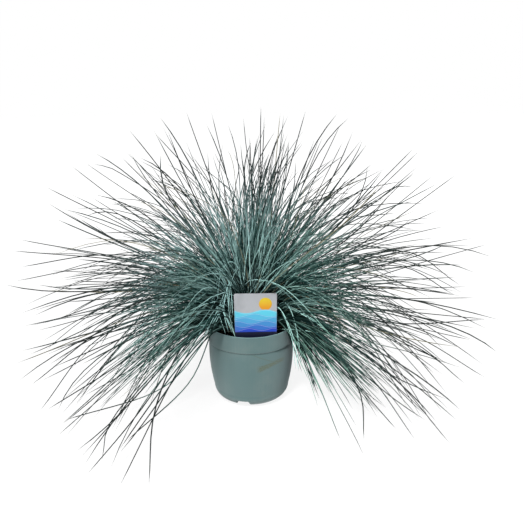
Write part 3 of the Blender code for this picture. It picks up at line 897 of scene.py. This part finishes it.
def lay_strips(mesh, map_places, blades):
    """Gives every blade its own upright strip of one map."""
    rows = max(1, round(math.sqrt(blades / 60.0)))
    columns = math.ceil(blades / rows)
    number = np.arange(blades)
    column, row = number % columns, number // columns
    across = (column[:, None] + 0.06 + 0.88 * map_places[None, :, 0]) / columns
    up = (row[:, None] + 0.01 + 0.98 * map_places[None, :, 1]) / rows
    layer = mesh.uv_layers.new(name="OFBake")
    layer.data.foreach_set("uv", np.stack([across, up], axis=-1).astype(np.float32).ravel())


def blade_paint(grass):
    """A waxy blue-green blade: greener low on the clump and to its right, pale with bloom, grey toward its
    thin tip. Near the crown, deep in the clump, blades are painted near-black with painted shade, and the
    palest there get painted light.
    """
    paint = Paint("blades", roughness=0.6, specular=0.12)
    along, shade, dry = (paint.attribute(name) for name in ("along", "shade", "dry"))
    patches = paint.noise(paint.joined(shade * 90.0, along * 9.0, shade * 31.0), 1.0, detail=4.0)
    lines = paint.noise(paint.joined(shade * 700.0, along * 60.0, 0.0), 1.0, detail=2.0)
    place = paint.place()
    x, _, z = paint.parts(place)
    green = paint.rise(x * 1.2 - z * 2.5 + paint.noise(place, 9.0) * 0.9, -0.25, 0.25)
    bloom = paint.rise(patches * 0.45 + shade * 0.9, 0.56, 1.14)
    tone = paint.mix(bloom, grass.leaf, paint.mix(green, grass.bloom, grass.green))
    tone = paint.mix(paint.rise(lines, 0.42, 0.75) * 0.25, tone, grass.leaf)
    out = paint.node("VectorMath", {"operation": "DISTANCE"}, {0: place, 1: CROWN_MIDDLE}, output="Value")
    # Painted shade: within a short reach of the crown all but the palest blades, and further out the darker
    # blades, are painted toward the near-black base colour, as shade deep in the clump.
    near = (1.0 - paint.rise(out, 0.055, 0.095)) * (1.0 - paint.rise(shade, 0.90, 0.97))
    shaded = (1.0 - paint.rise(out, 0.080, 0.150)) * (1.0 - paint.rise(shade, 0.45, 0.75))
    shaded = paint.sum("MAXIMUM", near, shaded)
    tone = paint.mix(shaded * 0.92, tone, grass.base)
    # Painted light: the palest blades within reach of the crown are painted lighter than their bloom, where
    # the clump above shades them.
    painted_light_on_palest = paint.rise(shade, 0.985, 0.995) * (1.0 - paint.rise(out, 0.100, 0.140))
    tone = paint.mix(painted_light_on_palest * 0.45, tone, scaled(grass.bloom, 1.5))
    tone = paint.mix(paint.rise(out + patches * 0.05, 0.145, 0.255) * 0.94, tone, grass.tip)
    burnt = paint.rise(along, 0.965, 1.0) * paint.rise(shade, 0.55, 0.75)
    tone = paint.mix(burnt, tone, scaled(grass.straw, 0.7))
    straw = paint.mix(paint.rise(patches, 0.35, 0.7), grass.straw, scaled(grass.straw, 0.45))
    tone = paint.mix(dry, tone, straw)
    return paint.finished(tone, 0.5 + patches * 0.2, lines + patches, 0.35, 0.2 * MM)


# Tufts with fewer or more blades than the rest, by number
FULLNESS = {
    1: 2.1, 2: 2.1, 4: 1.1, 5: 0.95, 6: 0.6, 7: 1.1, 8: 0.75, 9: 0.6, 10: 2.1, 12: 0.45, 13: 0.8,
    14: 0.5, 15: 0.6, 16: 1.2, 17: 0.5, 18: 0.95, 19: 1.7, 20: 0.4, 21: 1.1, 23: 2.2, 24: 1.2, 25: 0.55,
    26: 0.75, 27: 0.55, 28: 0.45, 29: 1.6, 30: 0.85, 31: 0.9, 32: 0.75, 33: 0.55, 34: 1.6, 35: 1.2, 36: 0.5,
    37: 0.8, 38: 0.75, 39: 0.9, 40: 0.3, 41: 0.55, 42: 1.1, 43: 1.2, 44: 0.8, 45: 1.2, 46: 0.7, 47: 1.1,
    48: 0.4,
}


class Lock(NamedTuple):
    """Blades that leave the crown's edge on one side and fall over the rim together, in degrees."""

    azimuth: float
    tilt: float
    reach: float
    spread: float
    lean: float
    blades: int


LOCKS = {
    "lock_right_front": Lock(54.0, 107.0, 215.0 * MM, 7.0, 60.0, 240),
    "lock_right": Lock(72.0, 102.0, 200.0 * MM, 11.0, 58.0, 40),
    "lock_front_right": Lock(46.0, 117.0, 150.0 * MM, 8.0, 62.0, 190),
    "lock_left_front": Lock(-66.0, 108.0, 250.0 * MM, 7.0, 54.0, 90),
    "lock_front_left": Lock(-55.0, 112.0, 190.0 * MM, 5.0, 56.0, 40),
}

# Fallen blades: how many lie together, then their route in millimetres from the crown to the tips
FALLEN_BLADES = (
    (3, (-22, -8, 108), (-42, -10, 160), (-49, -18, 190), (-32, -40, 172), (-27, -53, 128)),
    (2, (-4, -8, 112), (-6, -10, 160), (-22, -20, 200), (-40, -33, 190), (-48, -44, 150)),
    (2, (-2, -10, 112), (-13, -11, 188), (-27, -34, 177), (-35, -50, 146), (-29, -54, 112)),
    (3, (-14, -12, 110), (-35, -24, 180), (-31, -40, 160), (-52, -62, 116)),
    (2, (-20, -20, 105), (-40, -42, 152), (-31, -50, 131), (-24, -53, 111)),
    (2, (-24, -16, 105), (-44, -44, 148), (-33, -53, 110)),
    (3, (-12, -2, 112), (-33, -14, 178), (-63, -32, 184), (-102, -54, 161)),
    (3, (-14, -8, 112), (-40, -28, 167), (-66, -50, 161), (-98, -77, 143)),
    (3, (-16, -10, 111), (-41, -29, 155), (-60, -46, 146), (-96, -75, 116)),
    (3, (-16, -12, 110), (-39, -34, 146), (-74, -69, 107)),
    (1, (-6, -20, 112), (-8, -25, 167), (12, -46, 183), (49, -72, 175), (110, -100, 114)),
    (1, (-6, 4, 112), (3, 4, 180), (66, -19, 200)),
    (3, (16, -10, 110), (34, -24, 143), (78, -61, 135), (107, -85, 115)),
    (2, (14, -16, 110), (35, -40, 144), (52, -64, 112), (58, -68, 66)),
    (2, (20, -14, 112), (46, -38, 146), (60, -54, 116), (66, -62, 66)),
)

# Long single blades: a direction in degrees, then distances out and heights in millimetres
STRAY_BLADES = (
    (-95, (90, 195), (275, 295)),
    (-100, (100, 205), (245, 320)),
    (-120, (90, 210), (285, 310)),
    (-120, (100, 235), (220, 300), (270, 310)),
    (-130, (110, 220), (255, 315)),
    (-85, (110, 185), (300, 235)),
    (-85, (90, 170), (165, 200), (310, 220)),
    (-90, (110, 190), (200, 205), (310, 190)),
    (-75, (100, 180), (185, 205), (300, 195)),
    (-80, (110, 150), (300, 125)),
    (-75, (120, 150), (295, 95)),
    (-70, (100, 145), (185, 135), (295, 65)),
    (-65, (80, 140), (205, 125), (290, 40)),
    (-65, (90, 130), (200, 75), (280, 40)),
    (-60, (90, 120), (200, 60), (275, 15)),
    (-50, (60, 115), (145, 55), (280, 60)),
    (-40, (100, 125), (210, 55), (285, 15)),
    (-40, (110, 125), (240, 70), (265, 20)),
    (-35, (75, 130), (135, 70), (245, 45)),
    (-27, (90, 150), (190, 110), (300, 35)),
    (-25, (100, 150), (180, 145), (245, 95), (265, 15)),
    (150, (25, 230), (35, 397)),
    (-115, (20, 200), (90, 390)),
    (-110, (10, 210), (50, 390)),
    (-115, (20, 200), (65, 285), (140, 360)),
    (110, (25, 200), (45, 390)),
    (120, (25, 200), (90, 390)),
    (120, (50, 200), (150, 370)),
    (120, (60, 195), (155, 345)),
    (110, (50, 215), (185, 315)),
    (-100, (-6, 200), (-2, 360)),
    (115, (70, 175), (130, 220), (270, 330)),
    (115, (80, 175), (280, 325)),
    (100, (70, 155), (260, 300)),
    (100, (75, 150), (295, 300)),
    (100, (60, 190), (190, 280), (235, 285)),
    (100, (50, 190), (100, 240), (210, 250)),
    (85, (60, 130), (190, 180), (315, 220)),
    (80, (60, 155), (195, 215), (280, 170)),
    (75, (60, 160), (190, 200), (270, 165)),
    (85, (70, 135), (305, 145)),
    (80, (70, 135), (315, 125)),
    (75, (70, 140), (195, 120), (310, 135)),
    (75, (80, 135), (295, 105)),
    (65, (60, 130), (210, 125), (315, 80)),
    (60, (65, 135), (215, 125), (295, 80)),
    (55, (60, 130), (195, 90), (290, 10)),
    (50, (55, 130), (175, 90), (255, 15)),
    (50, (50, 120), (145, 80), (230, 20)),
    (38, (60, 130), (150, 125), (205, 80), (215, 20)),
    (37, (60, 125), (125, 80), (180, 5)),
)


def heading(azimuths, tilts):
    """Unit directions: azimuth 0 is the front, positive to the right, and tilt is from upright."""
    across = np.sin(tilts)
    return np.stack([np.sin(azimuths) * across, -np.cos(azimuths) * across, np.cos(tilts)], axis=-1)


def lock_batches(lock, chance, grass):
    """Blades that rise from the crown's edge and turn down over the rim."""
    count = 3 * lock.blades
    while True:
        turns = np.radians(lock.azimuth + chance.normal(size=count) * lock.spread)
        tilts = np.radians(lock.tilt + chance.normal(size=count) * lock.spread * 0.6)
        leans = np.radians(lock.lean + chance.normal(size=count) * 9.0)
        parts = 0.35 + 0.65 * chance.random(count) ** 2.0
        root_turns = turns + np.radians(chance.uniform(-38.0, 38.0, count))
        roots = heading(root_turns, np.radians(chance.uniform(10.0, 50.0, count)))
        starts = CROWN_BALL_CENTRE + roots * (CROWN_BALL - 1.0 * MM)
        ways = unit(heading(turns, leans) + roots * 0.15)
        tips = np.array(CROWN_MIDDLE) + heading(turns, tilts) * lock.reach
        tips[:, 2] = np.maximum(tips[:, 2], 4.0 * MM)
        courses = full_courses(starts, ways, tips, chance.uniform(0.09, 0.22, count))
        courses = swayed(resampled(courses, parts, grass.rings + 1), chance, grass.sway * 0.8)
        is_clear = clear_of_solids(courses) & clear_of_gap(courses)
        parts = parts[is_clear]
        # Shorter blades stand inside the lock and get darker tints, partly the darker green of older leaves
        # and partly painted shade.
        yield courses[is_clear], 0.22 + 0.35 * parts, np.ones(len(parts))


def smooth_course(route):
    """A smooth curve through all of a route's points."""
    ends = [2.0 * route[0] - route[1], *route, 2.0 * route[-1] - route[-2]]
    part = np.linspace(0.0, 1.0, 8, endpoint=False)[:, None]
    course = []
    for a, b, c, d in zip(ends, ends[1:], ends[2:], ends[3:]):
        course.append(0.5 * (2.0 * b + (c - a) * part + (2.0 * a - 5.0 * b + 4.0 * c - d) * part ** 2
                             + (3.0 * (b - c) + d - a) * part ** 3))
    return np.concatenate([*course, [route[-1]]])


def fallen_routes(chance):
    """Routes of the pale blades over the clump's front, each a little off its fellows' route."""
    for fellows, *route in FALLEN_BLADES:
        for i in range(fellows):
            drift = np.linspace(0.0, 1.0, len(route))[:, None] * chance.normal(size=3) * 6.0 * min(i, 1)
            yield (np.array(route) + drift + chance.normal(size=drift.shape) * min(i, 1)) * MM


def stray_routes():
    """Routes of the longest single blades, each in an upright plane through the crown."""
    foot = CROWN_BALL_CENTRE * (1.0, 1.0, 0.0)
    for degrees, *points in STRAY_BLADES:
        turn = math.radians(degrees)
        outward = heading(turn, math.pi / 2.0)
        out, up = points[0]
        tilt = 0.6 * math.atan2(out, up - CROWN_BALL_CENTRE[2] / MM)
        route = [CROWN_BALL_CENTRE + heading(turn, tilt) * (CROWN_BALL - 1.0 * MM)]
        route += [foot + (outward * out + (0.0, 0.0, up)) * MM for out, up in points]
        yield route


def laid_blades(routes, tint, stoutness, chance, grass):
    """Blades along listed routes, where those keep clear of the solids."""
    courses = [smooth_course(route) for route in routes]
    courses = resampled(courses, np.ones(len(courses)), grass.rings + 8)
    courses = courses[clear_of_solids(courses)]
    return courses, *fresh_look(chance, grass, len(courses), tint, stoutness)


def make_tufts(grass):
    paint = blade_paint(grass)
    for seed, name in enumerate(TUFTS, start=700):
        chance = np.random.default_rng(seed)
        foot, axis, tips = read_tuft(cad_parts[name])
        wanted = round(grass.blades * FULLNESS.get(int(name[-2:]), 1.0) * (0.9 + 0.6 * axis[2] ** 2))
        batches = tuft_batches(foot, axis, tips, chance, grass)
        blades = gathered(batches, wanted, partial(fresh_look, chance, grass))
        blades_name = "blades_" + name[-2:]
        new_piece(blades_name, blade_mesh(blades_name, *blades), paint, "blades", name)
    make_loose_blades(grass, paint)


def make_loose_blades(grass, paint):
    """The locks over the rim, the fallen blades and the longest single ones, which have no solids."""
    bunches = {}
    for seed, (name, lock) in enumerate(LOCKS.items(), start=300):
        chance = np.random.default_rng(seed)
        look = partial(fresh_look, chance, grass)
        bunches[name] = gathered(lock_batches(lock, chance, grass), lock.blades, look)
    chance = np.random.default_rng(320)
    bunches["fallen_blades"] = laid_blades(fallen_routes(chance), 1.35, 0.85, chance, grass)
    bunches["stray_blades"] = laid_blades(stray_routes(), 0.3, 1.45, np.random.default_rng(321), grass)
    for name, blades in bunches.items():
        new_piece(name, blade_mesh(name, *blades), paint, "blades")


# Crown


def crown_paint(grass):
    """Fibrous brown and olive strands, with painted shade in patches between them."""
    paint = Paint("crown", roughness=0.9, specular=0.2)
    place = paint.place()
    x, y, z = paint.parts(place)
    strands = paint.noise(paint.joined(x * 900.0, y * 900.0, z * 120.0), 1.0, detail=4.0)
    painted_gap_shade = paint.noise(place, 160.0)
    tone = paint.mix(paint.rise(strands, 0.35, 0.75), scaled(grass.thatch, 0.12), grass.thatch)
    # Painted shade: patches between the strands are painted toward the near-black base colour.
    tone = paint.mix(paint.rise(painted_gap_shade, 0.45, 0.65) * 0.6, tone, grass.base)
    return paint.finished(tone, 0.9, strands, 0.8, 1.2 * MM)


def old_leaf_batches(chance):
    """Short blades that stand all over the top of the crown and droop a little."""
    count = 300
    while True:
        turns = chance.uniform(0.0, 2.0 * math.pi, count)
        normals = heading(turns, np.radians(56.0) * np.sqrt(chance.random(count)))
        starts = CROWN_BALL_CENTRE + normals * (CROWN_BALL - 0.5 * MM)
        ways = unit(normals + chance.normal(size=(count, 3)) * 0.22)
        longs = chance.uniform(12.0, 42.0, count) * MM
        droop = np.array([0.0, 0.0, -1.0]) * (longs * chance.uniform(0.0, 0.35, count))[:, None]
        part = np.linspace(0.0, 1.0, 7)[None, :, None]
        courses = starts[:, None] + ways[:, None] * longs[:, None, None] * part + droop[:, None] * part ** 2
        courses = swayed(courses, chance, 0.06)
        yield (courses[clear_of_solids(courses)],)


def old_look(chance, grass, count):
    """Widths, shades and dryness of old leaves, more than half of which are dry."""
    widths = grass.width * chance.uniform(0.8, 1.3, count)
    shades = chance.random(count)
    return widths, shades, np.where(chance.random(count) < 0.6, chance.uniform(0.35, 0.95, count), 0.0)


def make_crown(grass):
    """Finishes the crown and stands old leaf bases all over it."""
    refinish("crown", crown_paint(grass))
    chance = np.random.default_rng(91)
    blades = gathered(old_leaf_batches(chance), grass.old_leaves, partial(old_look, chance, grass))
    new_piece("old_leaf_bases", blade_mesh("old_leaf_bases", *blades), thatch_paint(grass), "crown")


def thatch_paint(grass):
    """Old leaf bases: dull brown and straw, with some still green. The green ones are painted near-black and
    every leaf darker toward the crown, both painted shade.
    """
    paint = Paint("thatch", roughness=0.85, specular=0.2)
    along, shade, dry = (paint.attribute(name) for name in ("along", "shade", "dry"))
    patches = paint.noise(paint.joined(shade * 90.0, along * 5.0, 0.0), 1.0, detail=4.0)
    brown = paint.mix(paint.rise(patches + shade * 0.4, 0.4, 1.0), grass.thatch, grass.straw)
    # Painted shade: the old leaves that are still green take the near-black base colour of the shade deep in
    # the clump.
    tone = paint.mix(dry, grass.base, brown)
    # Painted shade: each old leaf is painted darker toward its foot at the crown.
    tone = paint.mix(paint.rise(1.0 - along, 0.6, 1.0) * 0.7, tone, scaled(grass.thatch, 0.25))
    return paint.finished(tone, 0.8 + patches * 0.15, patches, 0.5, 0.3 * MM)


# Stage


def glowing_paint(name, shade, roughness, near, far):
    """A paint that glows by itself, from its near tone at the plant to its far tone."""
    paint = Paint(name, roughness, specular=0.1)
    paint.give("Base Color", shade)
    away = paint.node("VectorMath", {"operation": "LENGTH"}, {0: paint.place()}, output="Value")
    paint.give("Emission Color", paint.mix(paint.rise(away, 0.4, 1.8), near, far))
    paint.give("Emission Strength", 1.0)
    return paint.material


def make_room(stage):
    """A pale floor and a white dome round it, which the camera sees but which light nothing."""
    floor = plain_object("floor", bmesh.ops.create_grid, x_segments=1, y_segments=1, size=8.0)
    floor.location.z = -0.2 * MM
    dome = plain_object("backdrop", bmesh.ops.create_uvsphere, u_segments=48, v_segments=24, radius=7.0)
    floor.data.materials.append(glowing_paint("floor", stage.floor, 0.9, (0.86,) * 3, (0.97,) * 3))
    dome.data.materials.append(glowing_paint("backdrop", (0.0,) * 3, 1.0, (1.0,) * 3, (1.0,) * 3))
    for thing in (floor, dome):
        for ray in ("diffuse", "glossy", "transmission", "shadow"):
            setattr(thing, "visible_" + ray, False)


def make_light(stage):
    world = bpy.data.worlds.new("surround")
    world.use_nodes = True
    background = world.node_tree.nodes["Background"]
    background.inputs["Color"].default_value = (*stage.sky, 1.0)
    background.inputs["Strength"].default_value = 1.0
    bpy.context.scene.world = world
    add_lamp("key", 0.6, stage.key_power, Vector((-0.5, -1.3, 2.1)))
    add_lamp("left fill", 0.8, 1.4 * stage.fill_power, Vector((-0.95, -1.4, 0.10)))
    add_lamp("right fill", 0.8, stage.fill_power, Vector((1.2, -1.2, 0.10)))
    add_lamp("back light", 1.0, stage.back_power, Vector((0.5, 1.7, 0.9)))
    bpy.context.scene.view_settings.view_transform = "Standard"


def add_lamp(name, size, power, place):
    """A round soft light aimed at the middle of the plant."""
    light = bpy.data.lights.new(name, "AREA")
    light.shape = "DISK"
    light.size = size
    light.energy = power
    lamp = linked(name, light)
    lamp.location = place
    lamp.rotation_euler = (Vector((0.0, 0.0, 0.15)) - place).to_track_quat("-Z", "Y").to_euler()


def place_camera(stage):
    camera = bpy.data.cameras.new("camera")
    camera.sensor_width = 36.0
    camera.lens = stage.focal_length
    camera.clip_end = 50.0
    eye = linked("camera", camera)
    aim = Matrix.Rotation(-stage.yaw, 3, "Z") @ Matrix.Rotation(math.pi / 2.0 - stage.pitch, 3, "X")
    aim = aim @ Matrix.Rotation(stage.roll, 3, "Z")
    eye.rotation_euler = aim.to_euler()
    eye.location = (0.0, -stage.camera_back, stage.camera_height)
    bpy.context.scene.camera = eye


# Add-on


class FESCUE_OT_stage(bpy.types.Operator):
    """Set up the camera, the floor and the light"""

    bl_idname = "fescue.stage"
    bl_label = "Stage"

    def execute(self, context):
        stage = context.scene.fescue_stage
        place_camera(stage)
        make_room(stage)
        make_light(stage)
        return {"FINISHED"}


class FESCUE_OT_pot(bpy.types.Operator):
    """Model the nursery pot with its rim band, drain recesses and holes"""

    bl_idname = "fescue.pot"
    bl_label = "Pot"

    def execute(self, context):
        make_pot(context.scene.fescue_pot)
        return {"FINISHED"}


class FESCUE_OT_compost(bpy.types.Operator):
    """Finish the compost and strew crumbs over it"""

    bl_idname = "fescue.compost"
    bl_label = "Compost"

    def execute(self, context):
        make_compost(context.scene.fescue_compost)
        return {"FINISHED"}


class FESCUE_OT_label(bpy.types.Operator):
    """Model the plant label and print it"""

    bl_idname = "fescue.label"
    bl_label = "Label"

    def execute(self, context):
        make_label(context.scene.fescue_label)
        return {"FINISHED"}


class FESCUE_OT_crown(bpy.types.Operator):
    """Finish the crown and stand old leaf bases on it"""

    bl_idname = "fescue.crown"
    bl_label = "Crown"

    def execute(self, context):
        make_crown(context.scene.fescue_grass)
        return {"FINISHED"}


class FESCUE_OT_tufts(bpy.types.Operator):
    """Grow the blades of every tuft"""

    bl_idname = "fescue.tufts"
    bl_label = "Tufts"

    def execute(self, context):
        make_tufts(context.scene.fescue_grass)
        return {"FINISHED"}


class FESCUE_PT_panel(bpy.types.Panel):
    """Lists the settings and the steps of the fescue"""

    bl_label = "Fescue"
    bl_idname = "FESCUE_PT_panel"
    bl_space_type = "VIEW_3D"
    bl_region_type = "UI"
    bl_category = "Fescue"

    def draw(self, context):
        for step, settings in STEPS:
            box = self.layout.box()
            box.operator(step.bl_idname)
            group = getattr(context.scene, settings)
            for name in group.bl_rna.properties.keys():
                if name not in ("rna_type", "name"):
                    box.prop(group, name)


STEPS = (
    (FESCUE_OT_stage, "fescue_stage"),
    (FESCUE_OT_pot, "fescue_pot"),
    (FESCUE_OT_compost, "fescue_compost"),
    (FESCUE_OT_label, "fescue_label"),
    (FESCUE_OT_crown, "fescue_grass"),
    (FESCUE_OT_tufts, "fescue_grass"),
)
GROUPS = {
    "fescue_stage": StageSettings,
    "fescue_pot": PotSettings,
    "fescue_compost": CompostSettings,
    "fescue_label": LabelSettings,
    "fescue_grass": GrassSettings,
}
CLASSES = (*GROUPS.values(), *(step for step, _ in STEPS), FESCUE_PT_panel)


def register():
    for each in CLASSES:
        bpy.utils.register_class(each)
    for name, group in GROUPS.items():
        setattr(bpy.types.Scene, name, PointerProperty(type=group))


def unregister():
    for name in GROUPS:
        delattr(bpy.types.Scene, name)
    for each in reversed(CLASSES):
        bpy.utils.unregister_class(each)


def main():
    register()
    for step, _ in STEPS:
        group, name = step.bl_idname.split(".")
        getattr(getattr(bpy.ops, group), name)()


if __name__ == "__main__":
    main()
